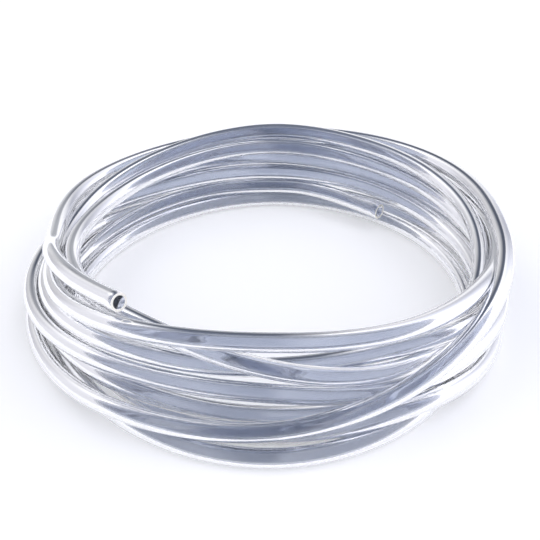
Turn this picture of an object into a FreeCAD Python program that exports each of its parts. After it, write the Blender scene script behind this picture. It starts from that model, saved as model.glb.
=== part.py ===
"""A loose coil of clear siphon hose, 7.62 m of 5/16 inch bore by 7/16 inch outside diameter.

Frame: millimetres, +Z up. The coil lies flat on the plane Z = 0, the origin is the middle of its foot,
and the hose's two free ends are on the -X side on top of the coil and on the +X +Y side in its hole.
"""

import FreeCAD, Part
import math
import os

import Sketcher

Vector = FreeCAD.Vector

# Driving dimensions, in millimetres. The coil leans: its turns fan out at the front (-Y) and stand
# in a steep wall at the back, so its hole and its top are set back from the middle of its foot.
DIMENSIONS = {
    "hose_outside": 11.1125,
    "hose_bore": 7.9375,
    "coil_height": 63.0,
    "foot_radius": 160.0,
    "top_radius": 151.0,
    "top_setback": 8.0,
    "hole_radius": 127.0,
    "hole_setback": 8.0,
}

# Routes of the two stretches that leave the coil, from inside its solid to the cut end.
TOP_END_ROUTE = [
    (-138.0, -4.0, 51.0),
    (-134.0, -33.0, 60.5),
    (-122.0, -61.5, 66.5),
    (-103.0, -86.0, 69.0),
    (-82.0, -108.0, 74.0),
]
INNER_END_ROUTE = [
    (15.0, 138.5, 17.5),
    (40.0, 129.0, 17.0),
    (62.0, 113.5, 16.5),
    (80.0, 95.5, 16.5),
]
ARC_SHARE = 0.45  # of the shorter run beside a corner, which its arc may take up

doc = FreeCAD.newDocument("hose")


def make_sheet():
    """The spreadsheet that every size is bound to."""
    sheet = doc.addObject("Spreadsheet::Sheet", "Dimensions")
    for row, (alias, value) in enumerate(DIMENSIONS.items(), start=1):
        sheet.set(f"A{row}", alias)
        sheet.set(f"B{row}", str(value))
        sheet.setAlias(f"B{row}", alias)
    doc.recompute()
    return sheet


def base_plane(body, role):
    """One of a body's own origin planes."""
    for feature in body.Origin.OriginFeatures:
        if feature.Role == role:
            return feature
    raise ValueError(f"{body.Label} has no {role}")


def circle_sketch(body, name, radius, setback=None, height=None):
    """A circle parallel to the ground, bound to the sheet: its radius, its shift to +Y and its height."""
    sketch = body.newObject("Sketcher::SketchObject", name)
    sketch.AttachmentSupport = (base_plane(body, "XY_Plane"), "")
    sketch.MapMode = "FlatFace"
    sketch.addGeometry(Part.Circle(Vector(0, 1, 0), Vector(0, 0, 1), 100), False)
    sketch.addConstraint(Sketcher.Constraint("Radius", 0, 100))
    sketch.addConstraint(Sketcher.Constraint("DistanceX", -1, 1, 0, 3, 0))
    sketch.addConstraint(Sketcher.Constraint("DistanceY", -1, 1, 0, 3, 0))
    sketch.setExpression("Constraints[0]", f"Dimensions.{radius}")
    if setback:
        sketch.setExpression(".AttachmentOffset.Base.y", f"Dimensions.{setback}")
    if height:
        sketch.setExpression(".AttachmentOffset.Base.z", f"Dimensions.{height}")
    return sketch


def make_coil():
    """The outer shape of the coiled turns: a leaning ring with edges as round as the hose."""
    body = doc.addObject("PartDesign::Body", "hose_coil")
    foot = circle_sketch(body, "foot_outline", "foot_radius")
    top = circle_sketch(body, "top_outline", "top_radius", "top_setback", "coil_height")
    block = body.newObject("PartDesign::AdditiveLoft", "outer_wall")
    block.Profile = foot
    block.Sections = [top]
    doc.recompute()

    hole = circle_sketch(body, "hole_outline", "hole_radius", "hole_setback")
    pocket = body.newObject("PartDesign::Pocket", "hole")
    pocket.Profile = hole
    pocket.Type = "ThroughAll"
    pocket.Reversed = True
    doc.recompute()

    edges = [f"Edge{i}" for i, edge in enumerate(pocket.Shape.Edges, start=1) if is_rim(edge)]
    rims = body.newObject("PartDesign::Fillet", "rounded_rims")
    rims.Base = (pocket, edges)
    rims.setExpression("Radius", "Dimensions.hose_outside / 2 * 0.98")
    doc.recompute()
    return body


def is_rim(edge):
    """True for a whole circle, and not for a seam up a wall."""
    return isinstance(edge.Curve, Part.Circle)


def rounded_route(points):
    """Straight runs joined by tangent arcs through a route's points, and the arcs' radii."""
    corners = [Vector(*point) for point in points]
    edges = []
    radii = []
    start = corners[0]
    for before, corner, after in zip(corners, corners[1:], corners[2:]):
        into = corner - before
        out = after - corner
        cut = ARC_SHARE * min(into.Length, out.Length)
        turn = into.getAngle(out)
        radius = cut / math.tan(turn / 2)
        first = corner - into.normalize() * cut
        last = corner + out.normalize() * cut
        centre = corner + (out - into).normalize() * (radius / math.cos(turn / 2))
        middle = centre + (corner - centre).normalize() * radius
        edges.append(Part.LineSegment(start, first).toShape())
        edges.append(Part.Arc(first, middle, last).toShape())
        radii.append(radius)
        start = last
    edges.append(Part.LineSegment(start, corners[-1]).toShape())
    return Part.Wire(edges), radii


def swept_rod(name, spine, diameter):
    """A round rod along a spine, its radius bound to half of a diameter in the sheet."""
    first = spine.Shape.OrderedEdges[0]
    circle = doc.addObject("Part::Circle", f"{name}_circle")
    circle.setExpression("Radius", f"Dimensions.{diameter} / 2")
    facing = FreeCAD.Rotation(Vector(0, 0, 1), first.tangentAt(first.FirstParameter))
    circle.Placement = FreeCAD.Placement(first.Vertexes[0].Point, facing)
    rod = doc.addObject("Part::Sweep", name)
    rod.Sections = [circle]
    rod.Spine = (spine, [f"Edge{i}" for i in range(1, len(spine.Shape.Edges) + 1)])
    rod.Solid = True
    return rod


def make_free_end(label, points, coil):
    """A stretch of hose with its bore, trimmed where it comes out of the coil."""
    wire, radii = rounded_route(points)
    spine = doc.addObject("Part::Feature", f"{label}_route")
    spine.Shape = wire
    outside = swept_rod(f"{label}_outside", spine, "hose_outside")
    bore = swept_rod(f"{label}_bore", spine, "hose_bore")
    tube = doc.addObject("Part::Cut", f"{label}_tube")
    tube.Base = outside
    tube.Tool = bore
    trimmed = doc.addObject("Part::Cut", label)
    trimmed.Base = tube
    trimmed.Tool = coil
    trimmed.Placement = FreeCAD.Placement()
    doc.recompute()
    report_tube(label, wire, radii, tube.Shape.Volume)
    return trimmed


def report_tube(label, wire, radii, volume):
    """Prints a tube's bends, and its volume beside its section times its length."""
    outer = DIMENSIONS["hose_outside"] / 2
    inner = DIMENSIONS["hose_bore"] / 2
    expected = math.pi * (outer**2 - inner**2) * wire.Length
    bends = ", ".join(f"{radius:.0f}" for radius in radii)
    print(f"{label}: length {wire.Length:.1f} mm, bend radii {bends} mm")
    print(f"{label}: volume {volume:.0f} mm3, section times length {expected:.0f} mm3")


def check_document():
    """Stops if any object of the document failed."""
    for item in doc.Objects:
        if "Invalid" in item.State or "Error" in item.State:
            raise RuntimeError(f"{item.Label} is {item.State}")


def export_parts(nodes):
    """Writes each sub-part to parts/LABEL.step."""
    os.makedirs("parts", exist_ok=True)
    for node in nodes:
        shape = node.Shape
        if shape.isNull() or not shape.isValid():
            raise RuntimeError(f"{node.Label} has no valid shape")
        shape.exportStep(f"parts/{node.Label}.step")
        box = shape.BoundBox
        print(
            f"{node.Label}: {len(shape.Solids)} solid, {shape.Volume / 1000:.1f} cm3, "
            f"X {box.XMin:.1f}..{box.XMax:.1f} Y {box.YMin:.1f}..{box.YMax:.1f} Z {box.ZMin:.1f}..{box.ZMax:.1f}"
        )


make_sheet()
coil = make_coil()
top_end = make_free_end("hose_top_end", TOP_END_ROUTE, coil)
inner_end = make_free_end("hose_inner_end", INNER_END_ROUTE, coil)
doc.recompute()
check_document()
export_parts([coil, top_end, inner_end])
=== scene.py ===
"""A loose coil of clear vinyl siphon hose on a white floor. Everything is in metres."""

import math

import bpy
import numpy as np
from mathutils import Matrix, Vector


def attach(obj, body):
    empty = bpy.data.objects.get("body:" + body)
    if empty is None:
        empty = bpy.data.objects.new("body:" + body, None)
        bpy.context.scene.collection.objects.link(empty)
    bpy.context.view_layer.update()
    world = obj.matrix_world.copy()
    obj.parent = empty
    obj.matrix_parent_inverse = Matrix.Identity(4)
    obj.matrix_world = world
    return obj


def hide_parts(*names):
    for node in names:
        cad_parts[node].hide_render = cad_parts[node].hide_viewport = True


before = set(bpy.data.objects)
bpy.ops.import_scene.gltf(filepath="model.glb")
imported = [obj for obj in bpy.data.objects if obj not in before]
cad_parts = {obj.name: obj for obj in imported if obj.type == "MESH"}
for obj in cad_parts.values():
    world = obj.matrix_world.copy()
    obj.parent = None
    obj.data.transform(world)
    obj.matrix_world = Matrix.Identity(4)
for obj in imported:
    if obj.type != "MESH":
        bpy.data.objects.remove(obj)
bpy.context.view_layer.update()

# The hose
HOSE_OUTSIDE = 0.0111125
HOSE_BORE = 0.0079375

# The stretch of each end that isn't coiled, from inside the coil to the cut end
INNER_END_ROUTE = [
    (0.0150, 0.1385, 0.0175),
    (0.0400, 0.1290, 0.0170),
    (0.0620, 0.1135, 0.0165),
    (0.0805, 0.0975, 0.0165),
]
TOP_END_ROUTE = [
    (-0.1380, -0.0040, 0.0510),
    (-0.1340, -0.0330, 0.0605),
    (-0.1220, -0.0615, 0.0665),
    (-0.1030, -0.0860, 0.0690),
    (-0.0820, -0.1080, 0.0740),
]

# The coil's turns, from the inner end to the top end: the radius and the height of the hose's middle
# every 30 degrees about COIL_CENTRE, counter-clockwise from +X.
COIL_CENTRE = (0.0, 0.008)
STATION_DEGREES = 30
TURNS = [
    [None, None, (0.1225, 0.0165), (0.1315, 0.0170), (0.132, 0.015), (0.136, 0.010),
     (0.142, 0.006), (0.145, 0.006), (0.157, 0.006), (0.165, 0.006), (0.154, 0.006), (0.137, 0.006)],
    [(0.131, 0.006), (0.130, 0.006), (0.131, 0.006), (0.133, 0.006), (0.129, 0.006), (0.127, 0.006),
     (0.130, 0.008), (0.136, 0.015), (0.140, 0.007), (0.150, 0.008), (0.156, 0.015), (0.151, 0.005)],
    [(0.145, 0.006), (0.143, 0.006), (0.144, 0.006), (0.145, 0.006), (0.144, 0.008), (0.146, 0.012),
     (0.143, 0.016), (0.145, 0.017), (0.145, 0.0205), (0.144, 0.0155), (0.141, 0.011), (0.141, 0.014)],
    [(0.138, 0.017), (0.136, 0.020), (0.133, 0.025), (0.131, 0.027), (0.136, 0.027), (0.148, 0.023),
     (0.154, 0.020), (0.151, 0.026), (0.143, 0.031), (0.143, 0.034), (0.146, 0.025), (0.150, 0.023)],
    [(0.149, 0.021), (0.146, 0.025), (0.143, 0.030), (0.140, 0.034), (0.138, 0.033), (0.139, 0.030),
     (0.142, 0.031), (0.144, 0.039), (0.138, 0.044), (0.133, 0.043), (0.136, 0.042), (0.148, 0.036)],
    [(0.142, 0.033), (0.140, 0.038), (0.139, 0.042), (0.138, 0.046), (0.133, 0.043), (0.130, 0.040),
     (0.129, 0.044), (0.130, 0.052), (0.131, 0.055), (0.142, 0.048), (0.146, 0.036), (0.141, 0.041)],
    [(0.138, 0.048), (0.139, 0.052), (0.143, 0.054), (0.147, 0.055), (0.142, 0.049), (0.139, 0.042),
     (0.139, 0.040), (0.145, 0.050), (0.144, 0.061), (0.137, 0.062), (0.144, 0.061), (0.143, 0.055)],
    [(0.146, 0.045), (0.149, 0.043), (0.153, 0.040), (0.155, 0.037), (0.156, 0.028), (0.157, 0.018),
     (0.154, 0.007), (0.155, 0.007), (0.160, 0.015), (0.157, 0.016), (0.156, 0.031), (0.151, 0.049)],
    [(0.143, 0.057), (0.148, 0.056), (0.153, 0.052), (0.153, 0.049), (0.155, 0.044), (0.152, 0.044),
     (0.139, 0.049), (0.1405, 0.0665), None, None, None, None],
]

# The coil's control points: how many a turn has, the degrees along the hose where they start and end, and
# how many at each end aren't pushed aside
POINTS_PER_TURN = 24
FIRST_COIL_ANGLE = 105
LAST_COIL_ANGLE = 8 * 360 + 165
PINNED_AT_START = 2
PINNED_AT_END = 4

# Clear vinyl with a grey-blue tint, its haze in cycles per metre, and its die lines in cycles per UV unit
VINYL_COLOR = (0.68, 0.71, 0.78, 1.0)
VINYL_MILKINESS = 0.05
VINYL_IOR = 1.5
VINYL_ROUGHNESS = (0.03, 0.12)
HAZE_SCALE, HAZE_DETAIL, HAZE_SPREAD = (60.0, 60.0, 60.0), 4.0, (0.35, 0.7)
DIE_LINES, DIE_LINE_DETAIL = (40.0, 4.0, 1.0), 2.0
DIE_LINE_STRENGTH, DIE_LINE_DEPTH = 0.25, 0.0001

# The cut faces, and the marks of the blade in cycles per metre
CUT_PALE, CUT_DEEP = (1.0, 0.98, 0.9, 1.0), (0.93, 0.89, 0.8, 1.0)
CUT_ROUGHNESS = (0.45, 0.65)
BLADE_MARKS, BLADE_DETAIL, BLADE_STRENGTH, BLADE_DEPTH = (3000.0, 700.0, 700.0), 3.0, 0.3, 0.0001

# The studio tent: its colour by how far a direction points to the right, -1 to 1, what is left of it
# towards the back, and the light on the horizon there
STRIP = (0.16, 0.19, 0.27)
TENT = [(-1.0, (0.8, 0.8, 0.86)), (-0.75, (0.85, 0.85, 0.92)), (-0.5, (1.5, 1.5, 1.56)), (-0.2, STRIP),
        (0.03, STRIP), (0.14, (1.6, 1.6, 1.7)), (0.5, (1.05, 1.08, 1.25)), (1.0, (1.3, 1.3, 1.4))]
BACK_EDGE, BACK_SHADE = (0.4, 0.8), 0.45
HORIZON_EDGE, HORIZON_LIGHT = (0.84, 0.96), 0.35

# The floor: its colour, glow, side and roughness
FLOOR_COLOR, FLOOR_GLOW = (0.85, 0.85, 0.85, 1.0), 0.32
FLOOR_SIDE, FLOOR_ROUGHNESS = 12.0, 0.9
WHITE = (1.0, 1.0, 1.0, 1.0)

# How often light may pass from one wall of the hose to the next
LIGHT_BOUNCES = 32

# The camera, its lens and its sensor in millimetres
CAMERA_PLACE, CAMERA_AIM = (0.0, -0.5926, 0.3988), (0.0, -0.0047, 0.030)
CAMERA_LENS, CAMERA_SENSOR = 71.5, 36.0

# Settling of the turns onto each other, step by step: how many diameters apart they are wanted, the share
# of its shift that a place keeps, and the share of an overlap that each of the two strands gives way
TURN_GAP = 1.05
SETTLE_STEPS = 300
KEPT_SHIFT = 0.98
GIVE_WAY = 0.45
SMALLEST_DISTANCE = 1e-6

# The mesh tube
PATH_STEPS = 10
TUBE_SIDES = 36
CUT_ROUNDING = 0.0002


def stations():
    """The angle, in degrees along the hose, and the radius and height of each station."""
    angles = []
    places = []
    for turn, row in enumerate(TURNS):
        for step, place in enumerate(row):
            if place is not None:
                angles.append(360 * turn + STATION_DEGREES * step)
                places.append(place)
    return np.array(angles, float), np.array(places, float)


def smooth_between(angles, known_angles, known):
    """Values at angles on a Catmull-Rom curve through known values."""
    last = len(known) - 1
    index = np.clip(np.searchsorted(known_angles, angles, side="right") - 1, 0, last - 1)
    before, after, later = np.maximum(index - 1, 0), index + 1, np.minimum(index + 2, last)
    t = ((angles - known_angles[index]) / (known_angles[after] - known_angles[index]))[:, None]
    p0, p1, p2, p3 = known[before], known[index], known[after], known[later]
    linear = 2 * p1 + (p2 - p0) * t
    curved = (2 * p0 - 5 * p1 + 4 * p2 - p3) * t**2 + (3 * p1 - p0 - 3 * p2 + p3) * t**3
    return 0.5 * (linear + curved)


def settled_coil():
    """The coil's angles and places, its turns pushed apart until each is a diameter from the others."""
    known_angles, known = stations()
    angles = np.arange(known_angles[0], known_angles[-1] + 1, 360 / POINTS_PER_TURN)
    wanted = smooth_between(angles, known_angles, known)
    places = wanted.copy()
    pinned = np.zeros(len(angles), bool)
    pinned[:PINNED_AT_START] = True
    pinned[-PINNED_AT_END:] = True
    apart = HOSE_OUTSIDE * TURN_GAP
    for _ in range(SETTLE_STEPS):
        shift = KEPT_SHIFT * (places - wanted)
        eased = shift.copy()
        eased[1:-1] = (shift[:-2] + 2 * shift[1:-1] + shift[2:]) / 4
        places = wanted + (shift + eased) / 2
        for turns in range(1, len(TURNS)):
            separate(places, turns * POINTS_PER_TURN, apart)
        places[:, 1] = np.maximum(places[:, 1], HOSE_OUTSIDE / 2)
        places[pinned] = wanted[pinned]
    return angles, places


def separate(places, offset, apart):
    """Pushes two strands that cross the same plane, offset points apart along the hose, off each other."""
    if offset >= len(places):
        return
    lower, upper = places[:-offset], places[offset:]
    between = upper - lower
    distance = np.maximum(np.linalg.norm(between, axis=1), SMALLEST_DISTANCE)[:, None]
    push = GIVE_WAY * np.maximum(apart - distance, 0) * between / distance
    lower -= push
    upper += push


def hose_route():
    """The control points of the whole hose, from the cut end in the coil's hole to the one on top."""
    angles, places = settled_coil()
    step = math.radians(360 / POINTS_PER_TURN)
    # A spline of order 3 runs inside control points set on a circle, so they are set this much wider
    widen = 8 / (6 + 2 * math.cos(step))
    coil = []
    for angle, (radius, height) in zip(angles, places):
        if FIRST_COIL_ANGLE <= angle <= LAST_COIL_ANGLE:
            turn = math.radians(angle)
            x = COIL_CENTRE[0] + widen * radius * math.cos(turn)
            y = COIL_CENTRE[1] + widen * radius * math.sin(turn)
            coil.append((x, y, height))
    return INNER_END_ROUTE[::-1] + coil + TOP_END_ROUTE


def nurbs_path(points):
    """The places along one NURBS spline that has the given control points."""
    data = bpy.data.curves.new("hose_route", "CURVE")
    data.dimensions = "3D"
    spline = data.splines.new("NURBS")
    spline.points.add(len(points) - 1)
    for control, place in zip(spline.points, points):
        control.co = (*place, 1.0)
    spline.order_u = 3
    spline.use_endpoint_u = True
    spline.resolution_u = PATH_STEPS
    curve = bpy.data.objects.new("hose_route", data)
    mesh = bpy.data.meshes.new_from_object(curve)
    path = np.array([vertex.co for vertex in mesh.vertices])
    bpy.data.meshes.remove(mesh)
    bpy.data.objects.remove(curve)
    return path


def path_directions(path):
    """Unit vectors along the hose, to its side and to its top, at each place of its path."""
    forward = np.gradient(path, axis=0)
    forward /= np.linalg.norm(forward, axis=1)[:, None]
    sideways = np.cross(forward, (0.0, 0.0, 1.0))
    sideways /= np.linalg.norm(sideways, axis=1)[:, None]
    upward = np.cross(sideways, forward)
    return forward, sideways, upward


def tube_loops(path):
    """The loops around the hose's surface: each one's index on the path, radius and shift along the hose.

    They run up the outside, over one cut end, back down the bore and over the other cut end.
    """
    outer, bore = HOSE_OUTSIDE / 2, HOSE_BORE / 2
    cut_edges = outer - CUT_ROUNDING, bore + CUT_ROUNDING
    rim = [(outer, CUT_ROUNDING), (cut_edges[0], 0.0), (cut_edges[1], 0.0), (bore, CUT_ROUNDING)]
    last = len(path) - 1
    up_the_outside = [(index, outer, 0.0) for index in range(1, last)]
    over_the_top_cut = [(last, radius, -set_back) for radius, set_back in rim]
    down_the_bore = [(index, bore, 0.0) for index in range(last - 1, 0, -1)]
    over_the_inner_cut = [(0, radius, set_back) for radius, set_back in reversed(rim)]
    return up_the_outside + over_the_top_cut + down_the_bore + over_the_inner_cut


def loop_vertices(path, loops):
    """The vertices of all the loops, loop by loop."""
    forward, sideways, upward = path_directions(path)
    around = np.linspace(0, 2 * math.pi, TUBE_SIDES, endpoint=False)[:, None]
    vertices = []
    for index, radius, shift in loops:
        centre = path[index] + shift * forward[index]
        circle = np.cos(around) * sideways[index] + np.sin(around) * upward[index]
        vertices.append(centre + radius * circle)
    return np.concatenate(vertices)


def loop_faces(path, loops):
    """The faces between the loops, whether each is part of a cut end, and its corners' UV places.

    U goes once around the hose, and V is the distance along it in metres.
    """
    travelled = np.concatenate([[0.0], np.cumsum(np.linalg.norm(np.diff(path, axis=0), axis=1))])
    faces = []
    is_cut = []
    uv_places = []
    for loop, (index, _, _) in enumerate(loops):
        next_loop = (loop + 1) % len(loops)
        next_index = loops[next_loop][0]
        for side in range(TUBE_SIDES):
            beside = (side + 1) % TUBE_SIDES
            start, after = loop * TUBE_SIDES, next_loop * TUBE_SIDES
            faces.append((start + side, start + beside, after + beside, after + side))
            is_cut.append(index == next_index)
            left, right = side / TUBE_SIDES, (side + 1) / TUBE_SIDES
            near, far = travelled[index], travelled[next_index]
            uv_places.extend([left, near, right, near, right, far, left, far])
    return faces, is_cut, uv_places


def build_hose(path):
    """A hollow tube along the path, with its bore and its two square-cut ends."""
    loops = tube_loops(path)
    faces, is_cut, uv_places = loop_faces(path, loops)
    mesh = bpy.data.meshes.new("siphon_hose")
    mesh.from_pydata(loop_vertices(path, loops).tolist(), [], faces)
    mesh.polygons.foreach_set("material_index", [int(cut) for cut in is_cut])
    mesh.polygons.foreach_set("use_smooth", [not cut for cut in is_cut])
    mesh.uv_layers.new(name="along_hose").data.foreach_set("uv", uv_places)
    hose = bpy.data.objects.new("siphon_hose", mesh)
    bpy.context.collection.objects.link(hose)
    return hose


def new_material(name):
    """A material with its Principled shader."""
    material = bpy.data.materials.new(name)
    material.use_nodes = True
    return material, material.node_tree, material.node_tree.nodes["Principled BSDF"]


def add_noise(tree, coordinates, scale, detail):
    """A noise texture over the given coordinates, stretched by scale, and its value."""
    mapping = tree.nodes.new("ShaderNodeMapping")
    mapping.inputs["Scale"].default_value = scale
    noise = tree.nodes.new("ShaderNodeTexNoise")
    noise.inputs["Scale"].default_value = 1.0
    noise.inputs["Detail"].default_value = detail
    tree.links.new(coordinates, mapping.inputs["Vector"])
    tree.links.new(mapping.outputs["Vector"], noise.inputs["Vector"])
    return noise.outputs["Fac"]


def add_range(tree, value, from_range, to_range):
    """The value, mapped from one range to another and kept inside it."""
    node = tree.nodes.new("ShaderNodeMapRange")
    node.inputs["From Min"].default_value, node.inputs["From Max"].default_value = from_range
    node.inputs["To Min"].default_value, node.inputs["To Max"].default_value = to_range
    tree.links.new(value, node.inputs["Value"])
    return node.outputs["Result"]


def add_bump(tree, height, strength, distance):
    """A bump of the given height texture."""
    node = tree.nodes.new("ShaderNodeBump")
    node.inputs["Strength"].default_value = strength
    node.inputs["Distance"].default_value = distance
    tree.links.new(height, node.inputs["Height"])
    return node.outputs["Normal"]


def add_mix(tree, factor, first, second):
    """A mix of two colours, linked or constant."""
    node = tree.nodes.new("ShaderNodeMix")
    node.data_type = "RGBA"
    tree.links.new(factor, node.inputs["Factor"])
    for name, color in (("A", first), ("B", second)):
        socket = next(entry for entry in node.inputs if entry.name == name and entry.type == "RGBA")
        if isinstance(color, tuple):
            socket.default_value = color
        else:
            tree.links.new(color, socket)
    return next(entry for entry in node.outputs if entry.type == "RGBA")


def add_ramp(tree, value, stops):
    """A colour ramp with the given (value, colour) stops, the values running from -1 to 1."""
    node = tree.nodes.new("ShaderNodeValToRGB")
    elements = node.color_ramp.elements
    while len(elements) < len(stops):
        elements.new(0.5)  # each one's place is set below
    for element, (place, color) in zip(elements, stops):
        element.position = (place + 1) / 2
        element.color = (*color, 1.0)
    tree.links.new(add_range(tree, value, (-1.0, 1.0), (0.0, 1.0)), node.inputs["Fac"])
    return node.outputs["Color"]


def add_vector_math(tree, operation, first, second):
    """A vector operation on two linked values."""
    node = tree.nodes.new("ShaderNodeVectorMath")
    node.operation = operation
    tree.links.new(first, node.inputs[0])
    tree.links.new(second, node.inputs[1])
    return node.outputs["Vector"]


def clear_vinyl():
    """Clear, tinted vinyl: glossy and faintly milky, with fine lines from the die it was drawn through."""
    material, tree, shader = new_material("clear_vinyl")
    shader.inputs["Base Color"].default_value = VINYL_COLOR
    shader.inputs["Transmission Weight"].default_value = 1.0 - VINYL_MILKINESS
    shader.inputs["IOR"].default_value = VINYL_IOR
    places = tree.nodes.new("ShaderNodeTexCoord")
    haze = add_noise(tree, places.outputs["Object"], HAZE_SCALE, HAZE_DETAIL)
    tree.links.new(add_range(tree, haze, HAZE_SPREAD, VINYL_ROUGHNESS), shader.inputs["Roughness"])
    die_lines = add_noise(tree, places.outputs["UV"], DIE_LINES, DIE_LINE_DETAIL)
    tree.links.new(add_bump(tree, die_lines, DIE_LINE_STRENGTH, DIE_LINE_DEPTH), shader.inputs["Normal"])
    return material


def cut_vinyl():
    """The cut faces: matt, milky and streaked where the blade went through."""
    material, tree, shader = new_material("cut_vinyl")
    places = tree.nodes.new("ShaderNodeTexCoord")
    marks = add_noise(tree, places.outputs["Object"], BLADE_MARKS, BLADE_DETAIL)
    tree.links.new(add_mix(tree, marks, CUT_PALE, CUT_DEEP), shader.inputs["Base Color"])
    tree.links.new(add_range(tree, marks, (0.0, 1.0), CUT_ROUGHNESS), shader.inputs["Roughness"])
    tree.links.new(add_bump(tree, marks, BLADE_STRENGTH, BLADE_DEPTH), shader.inputs["Normal"])
    return material


def add_floor():
    """A plain white floor, much wider than the coil."""
    bpy.ops.mesh.primitive_plane_add(size=FLOOR_SIDE)
    floor = bpy.context.object
    floor.name = "floor"
    material, _, shader = new_material("white_floor")
    shader.inputs["Base Color"].default_value = FLOOR_COLOR
    shader.inputs["Roughness"].default_value = FLOOR_ROUGHNESS
    shader.inputs["Specular IOR Level"].default_value = 0.0
    shader.inputs["Emission Color"].default_value = WHITE
    shader.inputs["Emission Strength"].default_value = FLOOR_GLOW
    floor.data.materials.append(material)


def add_world():
    """A soft studio tent, pale to both sides, with a grey-blue strip overhead from front to back.

    The camera alone sees it as plain white.
    """
    world = bpy.data.worlds.new("studio")
    world.use_nodes = True
    tree = world.node_tree
    direction = tree.nodes.new("ShaderNodeTexCoord").outputs["Generated"]
    axes = tree.nodes.new("ShaderNodeSeparateXYZ")
    tree.links.new(direction, axes.inputs["Vector"])
    sides = add_ramp(tree, axes.outputs["X"], TENT)
    depth = add_range(tree, axes.outputs["Y"], BACK_EDGE, (0.0, 1.0))
    shade = add_range(tree, depth, (0.0, 1.0), (1.0, BACK_SHADE))
    horizon = add_range(tree, axes.outputs["Y"], HORIZON_EDGE, (0.0, HORIZON_LIGHT))
    light = add_vector_math(tree, "ADD", add_vector_math(tree, "MULTIPLY", sides, shade), horizon)
    camera_sees = tree.nodes.new("ShaderNodeLightPath").outputs["Is Camera Ray"]
    tree.links.new(add_mix(tree, camera_sees, light, WHITE), tree.nodes["Background"].inputs["Color"])
    bpy.context.scene.world = world


def add_camera():
    """The photograph's viewpoint."""
    data = bpy.data.cameras.new("camera")
    data.lens = CAMERA_LENS
    data.sensor_width = CAMERA_SENSOR
    camera = bpy.data.objects.new("camera", data)
    camera.location = CAMERA_PLACE
    camera.rotation_euler = (Vector(CAMERA_AIM) - camera.location).to_track_quat("-Z", "Y").to_euler()
    bpy.context.collection.objects.link(camera)
    bpy.context.scene.camera = camera


add_camera()
path = nurbs_path(hose_route())
hose = build_hose(path)
hose.data.materials.append(clear_vinyl())
hose.data.materials.append(cut_vinyl())
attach(hose, "root")
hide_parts("hose_coil", "hose_top_end", "hose_inner_end")

add_floor()
add_world()
bpy.context.scene.view_settings.view_transform = "Standard"
bpy.context.scene.cycles.max_bounces = LIGHT_BOUNCES
bpy.context.scene.cycles.transmission_bounces = LIGHT_BOUNCES
